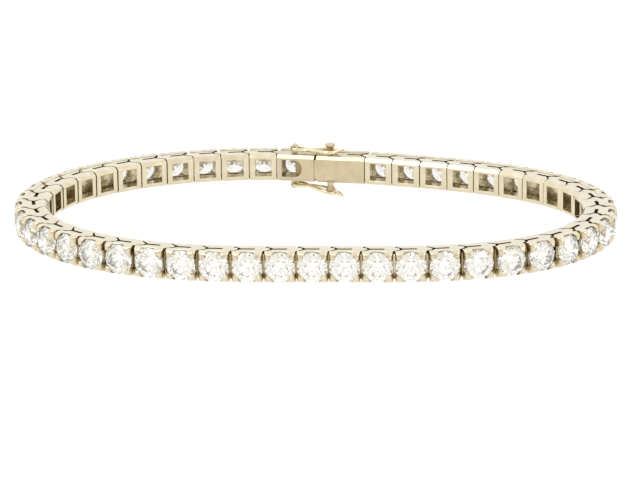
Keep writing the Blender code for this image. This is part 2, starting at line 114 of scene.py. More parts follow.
# Prong, level by level: height over the rail, inset of its corner, leg, claw over the stone, rounding
PRONG_LEVELS = [
    (-0.00010, 0.000085, 0.00104, 0.00000, 0.00007),
    (0.00010, 0.000060, 0.00104, 0.00000, 0.00009),
    (0.00035, 0.000010, 0.00103, 0.00000, 0.00012),
    (0.00068, 0.000015, 0.00099, 0.00001, 0.00014),
    (0.00084, 0.000045, 0.00092, 0.00007, 0.00017),
    (0.00097, 0.000105, 0.00081, 0.00018, 0.00020),
    (0.00109, 0.000200, 0.00064, 0.00024, 0.00019),
    (0.00118, 0.000330, 0.00042, 0.00020, 0.00013),
    (0.00123, 0.000440, 0.00020, 0.00011, 0.00006),
    (0.00125, 0.000510, 0.00008, 0.00004, 0.00002),
]
PRONG_CORNER_STEPS = 4
PRONG_CLAW_STEPS = 8

# Clasp
BOX_LENGTH = 0.00620
BOX_STONES = 2
CLASP_GAP = 0.00015
NECK_LENGTH = 0.00125
NECK_REACH = 0.00011
LEDGE_LENGTH = 0.00045
POCKET_LENGTH = 0.00095
POCKET_DEPTH = 0.00080
POCKET_STEPS = 24
NECK_RECESS = 0.00035
BOX_FLOOR = 0.00050
CAVITY_DEPTH = 0.00500
CAVITY_HEIGHT = 0.00220
CAVITY_WIDTH = 0.00130
TONGUE_CLEARANCE = 0.00015
TONGUE_LEAF = 0.00032
THUMB_NOTCH_LENGTH = 0.00023
THUMB_NOTCH_WIDTH = 0.00090
THUMB_NOTCH_HEIGHT = 0.00045

# Safety catches
KNOB_SETBACK = 0.00170
KNOB_HEIGHT = 0.00130
KNOB_HEAD_RADIUS = 0.00063
KNOB_WAIST_RADIUS = 0.00038
KNOB_FOOT_RADIUS = 0.00047
# Knob from foot to waist, flared head and dished top: radius, height over the side face
KNOB_PROFILE = [
    (0, -0.00010), (KNOB_FOOT_RADIUS, -0.00010), (KNOB_FOOT_RADIUS * 0.96, 0.00008),
    (KNOB_WAIST_RADIUS * 1.12, 0.00030), (KNOB_WAIST_RADIUS, 0.00052),
    (KNOB_WAIST_RADIUS * 1.02, 0.00066), (KNOB_WAIST_RADIUS * 1.2, 0.00084),
    (KNOB_HEAD_RADIUS * 0.86, 0.00102), (KNOB_HEAD_RADIUS * 0.97, 0.00112), (KNOB_HEAD_RADIUS, 0.00120),
    (KNOB_HEAD_RADIUS * 0.985, KNOB_HEIGHT - 0.00002), (KNOB_HEAD_RADIUS * 0.93, KNOB_HEIGHT),
    (KNOB_HEAD_RADIUS * 0.84, KNOB_HEIGHT - 0.00003), (KNOB_HEAD_RADIUS * 0.60, KNOB_HEIGHT - 0.00016),
    (KNOB_HEAD_RADIUS * 0.30, KNOB_HEIGHT - 0.00023), (0, KNOB_HEIGHT - 0.00025),
]
ROUND_SIDES = 40
HINGE_SETBACK = 0.00260
HINGE_HEIGHT = 0.00062
HINGE_HALF_LENGTH = 0.00050
HINGE_WALL = 0.00016
HINGE_BORE_SIDES = 32
CATCH_OFFSET = 0.00020
CATCH_WIRE_RADIUS = 0.00020
CATCH_SWELL = 0.00003
CATCH_CLEARANCE = 0.00010
CATCH_SINK = 0.00020
KNOB_CLEARANCE = 0.00030
LOOP_RADIUS = 0.00105
LOOP_STEPS = 28
LOOP_THROAT = (0.00014, 0.00006)
WAIST_END = (-0.00012, 0.00008)
WAIST_SHOULDER = (0.00022, 0.00022)
WIRE_SIDES = 16
STIRRUP_STEPS = 4
WAIST_SHARE = 0.40
STIRRUP_HALF_WIDTH = 0.00058
FINGER_LENGTH = 0.00085
FINGER_LIFT = 0.00035
FINGER_SINK = 0.0001
FINGER_STEPS = 10
# Thickness of the finger end as shares of the wire's: at its root, its bulge, its taper, its very tip
FINGER_ROOT, FINGER_BULGE, FINGER_TAPER, FINGER_TIP = 0.95, 0.28, 0.45, 0.6
LOWER_CATCH_OPEN = math.radians(12.0)

# Route of the chain's mid-line, as in the solids
ROUTE = [
    (0.32, 0.57), (-0.05, 0.70), (-0.45, 0.70), (-0.81, 0.53), (-1.04, 0.19),
    (-1.00, -0.22), (-0.74, -0.53), (-0.36, -0.67), (0.03, -0.67), (0.42, -0.72),
    (0.82, -0.61), (1.05, -0.26), (0.99, 0.16), (0.68, 0.43),
]
ROUTE_START = 0.23
HALVINGS = 40
FULL_TURN_SHARE = 0.995
LEAN = math.radians(2.58248)
REST_SHIFT = (-0.0000346, 0.0000377, 0.0028353)

# Scratches are drawn out towards the wrist: their density that way, as a share of that across
SCRATCH_STRETCH = 0.12

# Camera
CAMERA_PLACE = (-0.000359, -0.420866, 0.096903)
CAMERA_TURN = (76.9573, 0.8599, -0.3375)
CAMERA_LENS = 208.1

# Worked out from the sizes above
BODY_LENGTH = PITCH - INNER_GAP - (RAIL_GAP - INNER_GAP) * INNER_REACH / (INNER_REACH + RAIL_REACH)
HEAD_HALF_LENGTH = (PITCH - HEAD_GAP) / 2
GIRDLE_Y = -(RAIL_REACH + GIRDLE_ABOVE_RAIL)
TONGUE_START = BOX_LENGTH - PIN_SETBACK + CLASP_GAP
FRAME_START = TONGUE_START + NECK_LENGTH
CLASP_SPAN = FRAME_START + PITCH + PIN_SETBACK
KNOB_X = BOX_LENGTH - PIN_SETBACK - KNOB_SETBACK
HINGE_X = TONGUE_START + HINGE_SETBACK
CATCH_REACH = HINGE_X - KNOB_X
OVERCUT = 0.0006


# Basic shapes


def mesh_from(name, bm):
    bmesh.ops.recalc_face_normals(bm, faces=bm.faces)
    mesh = bpy.data.meshes.new(name)
    bm.to_mesh(mesh)
    bm.free()
    return mesh


def tool_from(name, bm):
    """A shape kept in the scene only while the meshes are being cut."""
    shape = bpy.data.objects.new(name, mesh_from(name, bm))
    bpy.context.scene.collection.objects.link(shape)
    return shape


def block(name, low, high):
    low, high = Vector(low), Vector(high)
    bm = bmesh.new()
    bmesh.ops.create_cube(bm, size=1.0)
    bmesh.ops.scale(bm, vec=high - low, verts=bm.verts)
    bmesh.ops.translate(bm, vec=(low + high) / 2, verts=bm.verts)
    return tool_from(name, bm)


def rod(name, centre, radius, length, axis, sides, far_radius=None):
    """A cylinder or cone about Z or Y through its centre."""
    bm = bmesh.new()
    bmesh.ops.create_cone(
        bm, cap_ends=True, segments=sides, radius1=radius, radius2=far_radius or radius, depth=length
    )
    if axis == "Y":
        quarter = Matrix.Rotation(-math.pi / 2, 3, "X")
        bmesh.ops.rotate(bm, cent=(0, 0, 0), matrix=quarter, verts=bm.verts)
    bmesh.ops.translate(bm, vec=centre, verts=bm.verts)
    return tool_from(name, bm)


def slab(name, outline, z_low, z_high):
    bm = bmesh.new()
    face = bm.faces.new([bm.verts.new((x, y, z_low)) for x, y in outline])
    moved = bmesh.ops.extrude_face_region(bm, geom=[face])["geom"]
    raised = [item for item in moved if isinstance(item, bmesh.types.BMVert)]
    bmesh.ops.translate(bm, vec=(0, 0, z_high - z_low), verts=raised)
    return tool_from(name, bm)


def turned(name, profile, sides):
    """A solid of revolution about Z, from (radius, height) points that start and end on the axis."""
    bm = bmesh.new()
    points = [bm.verts.new((radius, 0, height)) for radius, height in profile]
    edges = [bm.edges.new(pair) for pair in zip(points, points[1:])]
    bmesh.ops.spin(
        bm, geom=points + edges, cent=(0, 0, 0), axis=(0, 0, 1), angle=math.tau, steps=sides,
        use_merge=True,
    )
    bmesh.ops.remove_doubles(bm, verts=bm.verts, dist=1e-7)
    return tool_from(name, bm)


def combine(target, tools, operation):
    for tool in tools:
        step = target.modifiers.new(tool.name, "BOOLEAN")
        step.operation = operation
        step.object = tool
    return target


def evaluated_mesh(shape):
    bpy.context.view_layer.update()
    evaluated = shape.evaluated_get(bpy.context.evaluated_depsgraph_get())
    return bpy.data.meshes.new_from_object(evaluated)


def soften(shape):
    """Bevel all the edges made so far; what is cut later keeps its sharp edges."""
    soft = shape.modifiers.new("soft_edges", "BEVEL")
    soft.width = EDGE_BEVEL
    soft.segments = 2
    soft.angle_limit = BEVEL_ANGLE


def applied(shape):
    """The shape's mesh with its cuts and unions applied; the tools go."""
    mesh = evaluated_mesh(shape)
    tools = [step.object for step in shape.modifiers if step.type == "BOOLEAN"]
    for tool in tools + [shape]:
        bpy.data.objects.remove(tool)
    bm = bmesh.new()
    bm.from_mesh(mesh)
    bmesh.ops.remove_doubles(bm, verts=bm.verts, dist=1e-7)
    bm.to_mesh(mesh)
    bm.free()
    return mesh


def painted_shade_share(face):
    """How much painted shade a face takes where it is tucked away: fully in hollows and joints, partly on
    window walls and between two heads.
    """
    centre = face.calc_center_median()
    if (abs(centre.z) < BASE_HALF - RECESS_DEPTH
            and -RAIL_REACH + RECESS_DEPTH < centre.y < INNER_REACH - INNER_CHAMFER):
        in_window = abs(centre.z) < WINDOW_HEIGHT / 2 + RECESS_DEPTH and face.normal.y < FACING
        return WINDOW_SHADE if in_window else 1.0
    if centre.y < -RAIL_REACH and abs(face.normal.x) > FACING:
        return HEAD_SIDE_SHADE
    return 0.0


def joined(name, meshes, painted_shade=True):
    """One smooth mesh that holds all the given ones, with its tucked-away faces marked for painted shade.
    """
    bm = bmesh.new()
    for mesh in meshes:
        bm.from_mesh(mesh)
    # The recess layer holds each face's share of painted shade
    recess = bm.faces.layers.float.new("recess")
    bm.normal_update()
    for face in bm.faces:
        face[recess] = painted_shade_share(face) if painted_shade else 0.0
    whole = bpy.data.meshes.new(name)
    bm.to_mesh(whole)
    bm.free()
    for mesh in meshes:
        bpy.data.meshes.remove(mesh)
    whole.shade_smooth()
    whole.set_sharp_from_angle(angle=SMOOTH_ANGLE)
    shape = bpy.data.objects.new(name, whole)
    bpy.context.scene.collection.objects.link(shape)
    weighted = shape.modifiers.new("weighted_normals", "WEIGHTED_NORMAL")
    weighted.keep_sharp = True
    even = evaluated_mesh(shape)
    bpy.data.objects.remove(shape)
    bpy.data.meshes.remove(whole)
    return even


def rings_mesh(name, rings, cyclic=False):
    """A skin over a row of point rings, closed end to start, or capped at both ends."""
    bm = bmesh.new()
    rows = [[bm.verts.new(point) for point in ring] for ring in rings]
    count = len(rows[0])
    pairs = list(zip(rows, rows[1:])) + ([(rows[-1], rows[0])] if cyclic else [])
    for low, high in pairs:
        for i in range(count):
            j = (i + 1) % count
            bm.faces.new((low[i], low[j], high[j], high[i]))
    if not cyclic:
        bm.faces.new(rows[0])
        bm.faces.new(rows[-1])
    return mesh_from(name, bm)


def tube(name, points, radii, sides, closed=False):
    """A round wire along the points, its ring turned as little as possible from one to the next."""
    count = len(points)
    rings = []
    normal = Vector((0, 0, 1))
    for i, point in enumerate(points):
        if closed:
            ahead = points[(i + 1) % count] - points[i - 1]
        else:
            ahead = points[min(i + 1, count - 1)] - points[max(i - 1, 0)]
        ahead.normalize()
        normal = (normal - ahead * normal.dot(ahead)).normalized()
        side = ahead.cross(normal)
        rings.append([
            point + (normal * math.cos(a) + side * math.sin(a)) * radii[i]
            for a in (math.tau * k / sides for k in range(sides))
        ])
    return rings_mesh(name, rings, cyclic=closed)


def smooth_path(points, steps, closed=False):
    """A curve through all the points, with the given number of steps between each two."""
    count = len(points)
    path = []
    for i in range(count if closed else count - 1):
        if closed:
            p0, p1, p2, p3 = (points[(i + k) % count] for k in (-1, 0, 1, 2))
        else:
            p0, p3 = points[max(i - 1, 0)], points[min(i + 2, count - 1)]
            p1, p2 = points[i], points[i + 1]
        for k in range(steps):
            t = k / steps
            path.append(0.5 * (
                2 * p1 + (p2 - p0) * t + (2 * p0 - 5 * p1 + 4 * p2 - p3) * t * t
                + (3 * p1 - p0 - 3 * p2 + p3) * t ** 3
            ))
    if not closed:
        path.append(points[-1].copy())
    return path


# Links and their stones


def inner_setback(bend):
    """How far a body's inner corner stands back from its end, so that a joint bent so far just closes."""
    gap = min(CLOSED_GAP + INNER_REACH * math.sin(max(bend, 0.0)), INNER_GAP)
    return (gap - (PITCH - BODY_LENGTH)) / 2


def body_outline(start, end, start_bend=None, end_bend=None):
    """A body seen from its side face; an end with no bend is square."""
    rail = (RAIL_GAP - (PITCH - BODY_LENGTH)) / 2
    low = low_rail = start
    high = high_rail = end
    if start_bend is not None:
        low, low_rail = start + inner_setback(start_bend), start + rail
    if end_bend is not None:
        high, high_rail = end - inner_setback(end_bend), end - rail
    return [(low, INNER_REACH), (low_rail, -RAIL_REACH), (high_rail, -RAIL_REACH), (high, INNER_REACH)]


def chamfer_inner_edges(shape):
    bm = bmesh.new()
    bm.from_mesh(shape.data)
    edges = [
        edge for edge in bm.edges
        if all(abs(vert.co.y - INNER_REACH) < 1e-7 for vert in edge.verts)
        and abs(edge.verts[0].co.z - edge.verts[1].co.z) < 1e-7
    ]
    bmesh.ops.bevel(
        bm, geom=edges, offset=INNER_CHAMFER, offset_type="OFFSET", segments=1, affect="EDGES"
    )
    bm.to_mesh(shape.data)
    bm.free()


def add_noses(shape, end):
    """Two ears that hold the pin between them, and the low rib that hides the joint's gap."""
    root = end - NOSE_THICKNESS / 2
    pin_x = end + PITCH - BODY_LENGTH + PIN_SETBACK
    tip = pin_x + NOSE_TIP_REACH
    shoulder = end + NOSE_CLEARANCE / 2
    outline = [
        (root, -NOSE_HALF_WIDTH), (shoulder, -NOSE_HALF_WIDTH), (tip, -NOSE_TIP_HALF_WIDTH),
        (tip, NOSE_TIP_HALF_WIDTH), (shoulder, NOSE_HALF_WIDTH), (root, NOSE_HALF_WIDTH),
    ]
    floor = BASE_HALF - NOSE_THICKNESS
    face = BASE_HALF - NOSE_SINK
    parts = [
        slab("upper_nose", outline, floor, face), slab("lower_nose", outline, -face, -floor),
        rod("pin", (pin_x, 0, 0), PIN_RADIUS, 2 * floor + NOSE_THICKNESS, "Z", PIN_SIDES),
        block("rib", (root, -RIB_WIDTH / 2, -floor - NOSE_THICKNESS / 2),
              (end + RIB_REACH, RIB_WIDTH / 2, floor + NOSE_THICKNESS / 2)),
    ]
    combine(shape, parts, "UNION")


def cut_notches(shape):
    """The pin's hole, and on each side face the V-shaped notch with a sawn slot into the hollow."""
    floor = BASE_HALF - NOSE_THICKNESS - NOSE_CLEARANCE
    mouth = -PIN_SETBACK
    apex = mouth + NOTCH_DEPTH
    widening = NOTCH_HALF_WIDTH / NOTCH_DEPTH
    half_slot = SLOT_WIDTH / 2
    throat = apex - half_slot / widening
    notch = [
        (mouth - OVERCUT, NOTCH_HALF_WIDTH + OVERCUT * widening),
        (mouth - OVERCUT, -NOTCH_HALF_WIDTH - OVERCUT * widening),
        (throat, -half_slot), (throat, half_slot),
    ]
    slot = [
        (throat - half_slot, -half_slot), (apex + SLOT_LENGTH, -half_slot),
        (apex + SLOT_LENGTH, half_slot), (throat - half_slot, half_slot),
    ]
    inside = WINDOW_HEIGHT / 2 - half_slot
    top = BASE_HALF + OVERCUT
    combine(shape, [
        slab("upper_notch", notch, floor, top), slab("lower_notch", notch, -top, -floor),
        slab("upper_slot", slot, inside, top), slab("lower_slot", slot, -top, -inside),
        rod("pin_hole", (0, 0, 0), PIN_RADIUS + PIN_CLEARANCE, 2 * BASE_HALF, "Z", PIN_HOLE_SIDES),
    ], "DIFFERENCE")


def cut_window(shape, centre, ledge=0.0):
    """The square opening to the wrist, less a ledge, and the round bearing that widens it at the stone."""
    near = centre - WINDOW_LENGTH / 2 + ledge
    window = block("window", (near, -RAIL_REACH - OVERCUT, -WINDOW_HEIGHT / 2),
                   (centre + WINDOW_LENGTH / 2, INNER_REACH + OVERCUT, WINDOW_HEIGHT / 2))
    combine(shape, [window, bearing(centre)], "DIFFERENCE")


def bearing(centre):
    """The cone under a stone, cut into the rail."""
    floor_radius = BEARING_RADIUS * BEARING_FLOOR_SHARE
    reach = BEARING_DEPTH + OVERCUT
    slope = (BEARING_RADIUS - floor_radius) / BEARING_DEPTH
    return rod("bearing", (centre, -RAIL_REACH + BEARING_DEPTH - reach / 2, 0),
               BEARING_RADIUS + OVERCUT * slope, reach, "Y", ROUND_SIDES, far_radius=floor_radius)


def prong(centre, side_x, side_z):
    """A corner prong that leans in over the stone's edge, with a rounded tip."""
    rings = []
    for rise, inset, leg, claw, rounding in PRONG_LEVELS:
        x, z = HEAD_HALF_LENGTH - inset, HEAD_HALF_HEIGHT - inset
        y = -RAIL_REACH - rise
        ring = [(x - leg, z)]
        for k in range(PRONG_CORNER_STEPS + 1):
            a = math.pi / 2 * (1 - k / PRONG_CORNER_STEPS)
            ring.append((x - rounding + rounding * math.cos(a), z - rounding + rounding * math.sin(a)))
        ring.append((x, z - leg))
        for k in range(1, PRONG_CLAW_STEPS):
            t = k / PRONG_CLAW_STEPS
            lift = claw * math.sin(math.pi * t) ** 2 / math.sqrt(2)
            ring.append((x - leg * t - lift, z - leg * (1 - t) - lift))
        rings.append([(centre + side_x * px, y, side_z * pz) for px, pz in ring])
    return rings_mesh("prong", rings)


def collar(centre):
    """The rim that joins the prongs, scooped between them so that the stone's edge shows."""
    rings = []
    floor = -RAIL_REACH + COLLAR_SINK
    for k in range(COLLAR_STEPS):
        a = math.tau * k / COLLAR_STEPS
        direction = Vector((math.cos(a), math.sin(a)))
        reach = min(HEAD_HALF_LENGTH / max(abs(direction.x), 1e-9),
                    HEAD_HALF_HEIGHT / max(abs(direction.y), 1e-9))
        corner = abs(math.sin(2 * a)) ** 3
        top = -RAIL_REACH - COLLAR_RISE - COLLAR_CORNER_RISE * corner
        ring = []
        for radius, y in (
            (reach - COLLAR_FLARE, floor),
            (reach - COLLAR_FLARE * 0.7, -RAIL_REACH - COLLAR_SINK),
            (reach - COLLAR_INSET, -RAIL_REACH - COLLAR_FLARE_RISE),
            (reach - COLLAR_INSET, top + COLLAR_EDGE),
            (reach - COLLAR_ROUNDING, top),
            (COLLAR_INNER_RADIUS + COLLAR_ROUNDING, top),
            (COLLAR_INNER_RADIUS, top + COLLAR_ROUNDING),
            (BEARING_RADIUS, floor),
        ):
            ring.append((centre + direction.x * radius, y, direction.y * radius))
        rings.append(ring)
    return rings_mesh("collar", rings, cyclic=True)


def head(centre):
    parts = [prong(centre, side_x, side_z) for side_x in (-1, 1) for side_z in (-1, 1)]
    return parts + [collar(centre)]


def brilliant():
    """A round brilliant about its own axis: table, star, bezel and girdle facets, pavilion, point."""
    eighth = math.tau / 8
    table_radius = STONE_RADIUS * TABLE_SHARE
    apothem = table_radius * math.cos(eighth / 2)
    star_radius = apothem + STAR_SHARE * (STONE_RADIUS - apothem)
    star_height = CROWN_HEIGHT * (
        (STONE_RADIUS - star_radius * math.cos(eighth / 2)) / (STONE_RADIUS - table_radius)
    )
    lower_radius = STONE_RADIUS * (1 - LOWER_SHARE)
    lower_depth = PAVILION_DEPTH * (1 - lower_radius * math.cos(eighth / 2) / STONE_RADIUS)
    girdle_low = -GIRDLE_HEIGHT

    bm = bmesh.new()

    def around(radius, height, count, offset=0.0):
        angles = (math.tau * (k + offset) / count for k in range(count))
        return [bm.verts.new((radius * math.cos(a), radius * math.sin(a), height)) for a in angles]

    table = around(table_radius, CROWN_HEIGHT, 8)
    star = around(star_radius, star_height, 8, 0.5)
    upper = around(STONE_RADIUS, 0.0, 16)
    lower = around(STONE_RADIUS, girdle_low, 16)
    waist = around(lower_radius, girdle_low - lower_depth, 8, 0.5)
    point = bm.verts.new((0, 0, girdle_low - PAVILION_DEPTH))
    bm.faces.new(table)
    for k in range(8):
        after = (k + 1) % 8
        here, middle, far = upper[2 * k], upper[2 * k + 1], upper[(2 * k + 2) % 16]
        here_low, middle_low, far_low = lower[2 * k], lower[2 * k + 1], lower[(2 * k + 2) % 16]
        bm.faces.new((table[k], star[k], table[after]))
        bm.faces.new((table[k], star[k - 1], here, star[k]))
        bm.faces.new((star[k], here, middle))
        bm.faces.new((star[k], middle, far))
        bm.faces.new((here, here_low, middle_low, middle))
        bm.faces.new((middle, middle_low, far_low, far))
        bm.faces.new((waist[k], middle_low, here_low))
        bm.faces.new((waist[k], far_low, middle_low))
        bm.faces.new((waist[k - 1], here_low, waist[k], point))
    return mesh_from("brilliant", bm)


def stone_place(centre, turn):
    """A stone's own place in its link's frame: table outwards, turned about its axis."""
    return (Matrix.Translation((centre, GIRDLE_Y, 0)) @ Matrix.Rotation(math.pi / 2, 4, "X")
            @ Matrix.Rotation(turn, 4, "Z"))


@functools.lru_cache(maxsize=None)
def link_mesh(start_bend, end_bend):
    """A link whose joints stand at the given bends, in degrees."""
    start = -PIN_SETBACK
    end = start + BODY_LENGTH
    centre = (start + end) / 2
    outline = body_outline(start, end, math.radians(start_bend), math.radians(end_bend))
    shape = slab("link_body", outline, -BASE_HALF, BASE_HALF)
    chamfer_inner_edges(shape)
    cut_window(shape, centre)
    soften(shape)
    add_noses(shape, end)
    cut_notches(shape)
    return joined("link_setting", [applied(shape)] + head(centre))


# Box and tongue of the clasp


def thumb_notch(end, side):
    heights = sorted((side * (BASE_HALF - THUMB_NOTCH_HEIGHT), side * (BASE_HALF + OVERCUT)))
    return block("thumb_notch", (end - THUMB_NOTCH_LENGTH, INNER_REACH - THUMB_NOTCH_WIDTH, heights[0]),
                 (end + OVERCUT, INNER_REACH + OVERCUT, heights[1]))


def knob(side):
    """A turned post with a narrow waist and a dished, flared head."""
    shape = turned("knob", KNOB_PROFILE, ROUND_SIDES)
    turn = Matrix.Identity(4) if side > 0 else Matrix.Rotation(math.pi, 4, "X")
    shape.data.transform(Matrix.Translation((KNOB_X, CATCH_OFFSET, side * BASE_HALF)) @ turn)
    return applied(shape)


def box_centres():
    return [-PIN_SETBACK + BODY_LENGTH / 2 + PITCH * i for i in range(BOX_STONES)]


def box_mesh(bend):
    start = -PIN_SETBACK
    end = start + BOX_LENGTH
    outline = body_outline(start, end, start_bend=math.radians(bend))
    shape = slab("box_body", outline, -BASE_HALF, BASE_HALF)
    chamfer_inner_edges(shape)
    cavity_floor = INNER_REACH - BOX_FLOOR
    cavity = block("cavity", (end - CAVITY_DEPTH, cavity_floor - CAVITY_WIDTH, -CAVITY_HEIGHT / 2),
                   (end + OVERCUT, cavity_floor, CAVITY_HEIGHT / 2))
    combine(shape, [cavity, thumb_notch(end, 1), thumb_notch(end, -1)], "DIFFERENCE")
    combine(shape, [bearing(centre) for centre in box_centres()], "DIFFERENCE")
    soften(shape)
    cut_notches(shape)
    parts = [applied(shape), knob(1), knob(-1)]
    for centre in box_centres():
        parts += head(centre)
    return joined("clasp_box_case", parts)


def hinge_tube(side):
    """The tube that holds a catch's wire, on a short foot."""
    bore = CATCH_WIRE_RADIUS + CATCH_CLEARANCE
    centre = Vector((HINGE_X, CATCH_OFFSET, side * (BASE_HALF + HINGE_HEIGHT)))
    shape = rod("hinge_tube", centre, bore + HINGE_WALL, 2 * HINGE_HALF_LENGTH, "Y", ROUND_SIDES)
    heights = sorted((side * (BASE_HALF - HINGE_WALL), centre.z - side * (bore + HINGE_WALL / 2)))
    half_foot = HINGE_HALF_LENGTH - HINGE_WALL / 2
    foot = block("hinge_foot", (HINGE_X - bore, CATCH_OFFSET - half_foot, heights[0]),
                 (HINGE_X + bore, CATCH_OFFSET + half_foot, heights[1]))
    combine(shape, [foot], "UNION")
    hole = rod("hinge_bore", centre, bore, 2 * HINGE_HALF_LENGTH + OVERCUT, "Y", HINGE_BORE_SIDES)
    combine(shape, [hole], "DIFFERENCE")
    soften(shape)
    return applied(shape)


def folded_tongue():
    inner_side = INNER_REACH - BOX_FLOOR - TONGUE_CLEARANCE
    outer_side = inner_side - CAVITY_WIDTH + 2 * TONGUE_CLEARANCE
    half_height = CAVITY_HEIGHT / 2 - TONGUE_CLEARANCE
    tip = TONGUE_START - CLASP_GAP - CAVITY_DEPTH + 2 * TONGUE_CLEARANCE
    blade = block("tongue_blade", (tip, outer_side, -half_height),
                  (TONGUE_START + OVERCUT, inner_side, half_height))
    fold = block("tongue_fold", (tip + 2 * TONGUE_LEAF, outer_side + TONGUE_LEAF, -2 * BASE_HALF),
                 (TONGUE_START - TONGUE_LEAF, inner_side - TONGUE_LEAF, 2 * BASE_HALF))
    combine(blade, [fold], "DIFFERENCE")
    soften(blade)
    return applied(blade)


def ledge_pocket(window_end):
    """The shallow half-oval at the end of the tongue's window."""
    half_height = WINDOW_HEIGHT / 2
    arc = [math.pi / 2 + math.pi * k / POCKET_STEPS for k in range(POCKET_STEPS + 1)]
    oval = [(window_end + POCKET_LENGTH * math.cos(a), half_height * math.sin(a)) for a in arc]
    outline = [(window_end + LEDGE_LENGTH / 2, half_height)] + oval
    outline += [(window_end + LEDGE_LENGTH / 2, -half_height)]
    shape = slab("ledge_pocket", outline, -POCKET_DEPTH, OVERCUT)
    shape.data.transform(Matrix.Translation((0, INNER_REACH, 0)) @ Matrix.Rotation(-math.pi / 2, 4, "X"))
    return shape


def tongue_centre():
    return FRAME_START + BODY_LENGTH / 2


def tongue_mesh(bend):
    end = FRAME_START + BODY_LENGTH
    outline = body_outline(TONGUE_START - NECK_REACH, end, end_bend=math.radians(bend))
    shape = slab("tongue_body", outline, -BASE_HALF, BASE_HALF)
    chamfer_inner_edges(shape)
    recess = block("neck_recess", (TONGUE_START - OVERCUT, -RAIL_REACH - OVERCUT, -2 * BASE_HALF),
                   (FRAME_START - CLASP_GAP, -RAIL_REACH + NECK_RECESS, 2 * BASE_HALF))
    combine(shape, [recess], "DIFFERENCE")
    cut_window(shape, tongue_centre(), ledge=LEDGE_LENGTH)
    combine(shape, [ledge_pocket(tongue_centre() - WINDOW_LENGTH / 2 + LEDGE_LENGTH)], "DIFFERENCE")
    soften(shape)
    add_noses(shape, end)
    parts = [applied(shape), folded_tongue(), hinge_tube(1), hinge_tube(-1)]
    return joined("clasp_tongue_frame", parts + head(tongue_centre()))


# Wires of the safety catches


def catch_height(x):
    share = min(max(-x / (WAIST_SHARE * CATCH_REACH), 0.0), 1.0)
    return -CATCH_SINK * share * share * (3 - 2 * share)


def catch_mesh():
    """A figure-eight wire: a stirrup through the hinge tube, a loop round the knob, a finger end."""
    waist_x = -WAIST_SHARE * CATCH_REACH
    side_y = HINGE_HALF_LENGTH + CATCH_CLEARANCE + CATCH_WIRE_RADIUS
    bend = side_y - HINGE_HALF_LENGTH
    half = [(waist_x + x, y) for x, y in (WAIST_END, WAIST_SHOULDER)]
    half += [((waist_x - bend) / 2, STIRRUP_HALF_WIDTH), (-bend * 1.5, side_y * 0.97)]
    half += [
        (-bend + bend * math.sin(a), side_y - bend + bend * math.cos(a))
        for a in (math.pi / 10, math.pi / 4, math.pi * 0.4)
    ]
    stirrup = [Vector((x, y, catch_height(x))) for x, y in half]
    stirrup += [Vector((0, y, 0)) for y in (side_y - 1.6 * bend, 0, 1.6 * bend - side_y)]
    stirrup += [Vector((x, -y, catch_height(x))) for x, y in reversed(half)]
    path = smooth_path(stirrup, STIRRUP_STEPS)
    wire_radius = CATCH_WIRE_RADIUS + CATCH_SWELL
    parts = [tube("stirrup", path, [wire_radius] * len(path), WIRE_SIDES)]

    radius = LOOP_RADIUS
    centre = -CATCH_REACH + KNOB_CLEARANCE / 2
    length = waist_x - centre
    tangent = math.acos(radius / length)
    sweep = math.tau - 2 * tangent
    arc = [tangent + sweep * i / LOOP_STEPS for i in range(LOOP_STEPS + 1)]
    loop = [Vector((centre + radius * math.cos(a), radius * math.sin(a), -CATCH_SINK)) for a in arc]
    throat = Vector((waist_x + LOOP_THROAT[0], LOOP_THROAT[1], -CATCH_SINK))
    first, last = loop[0], loop[-1]
    loop = [throat, throat.lerp(first, 0.5)] + loop
    mirrored = Vector((throat.x, -throat.y, throat.z))
    loop += [last.lerp(mirrored, 0.5), mirrored]
    parts.append(tube("loop", loop, [wire_radius] * len(loop), WIRE_SIDES))

    root = centre - radius
    shares = [i / FINGER_STEPS for i in range(FINGER_STEPS + 1)]
    finger = [
        Vector((root + FINGER_SINK - (FINGER_LENGTH + FINGER_SINK) * share, 0,
                -CATCH_SINK + FINGER_LIFT * share * share))
        for share in shares
    ]
    swell = []
    for share in shares:
        bulge = math.sin(math.pi * min(share * 1.4, 1.0))
        swell.append(wire_radius * (FINGER_ROOT + FINGER_BULGE * bulge - FINGER_TAPER * share ** 3))
    swell[-1] *= FINGER_TIP
    parts.append(tube("finger", finger, swell, WIRE_SIDES))
    return joined("safety_catch", parts, painted_shade=False)


# Way of the chain round the wrist


def route_point(share):
    index = math.floor(share)
    f = share - index
    weights = ((1 - f) ** 3, 3 * f ** 3 - 6 * f * f + 4, -3 * f ** 3 + 3 * f * f + 3 * f + 1, f ** 3)
    corners = [Vector(ROUTE[(index + i) % len(ROUTE)]) for i in range(4)]
    return sum((corner * (weight / 6) for corner, weight in zip(corners, weights)), Vector((0, 0)))


def step_along(share, distance, scale):
    here = route_point(share) * scale
    low, high = share, share + len(ROUTE) / 4
    for _ in range(HALVINGS):
        middle = (low + high) / 2
        if (route_point(middle) * scale - here).length < distance:
            low = middle
        else:
            high = middle
    return high


def pin_places(scale):
    places = [ROUTE_START]
    for _ in range(LINK_COUNT):
        places.append(step_along(places[-1], PITCH, scale))
    return [route_point(place) * scale for place in places]


def wraps(pins):
    """Whether the pins already go all the way round."""
    turned_by = 0.0
    for before, here, after in zip(pins, pins[1:], pins[2:]):
        turned_by += (here - before).angle_signed(after - here)
    return abs(turned_by) > math.tau * FULL_TURN_SHARE


def closing_route():
    """The pins on the route whose size makes the chain close over the clasp."""
    total = LINK_COUNT * PITCH + CLASP_SPAN
    low, high = total / 12, total / 3
    for _ in range(HALVINGS):
        scale = (low + high) / 2
        pins = pin_places(scale)
        if (pins[0] - pins[-1]).length < CLASP_SPAN or wraps(pins):
            low = scale
        else:
            high = scale
    return pin_places(high)


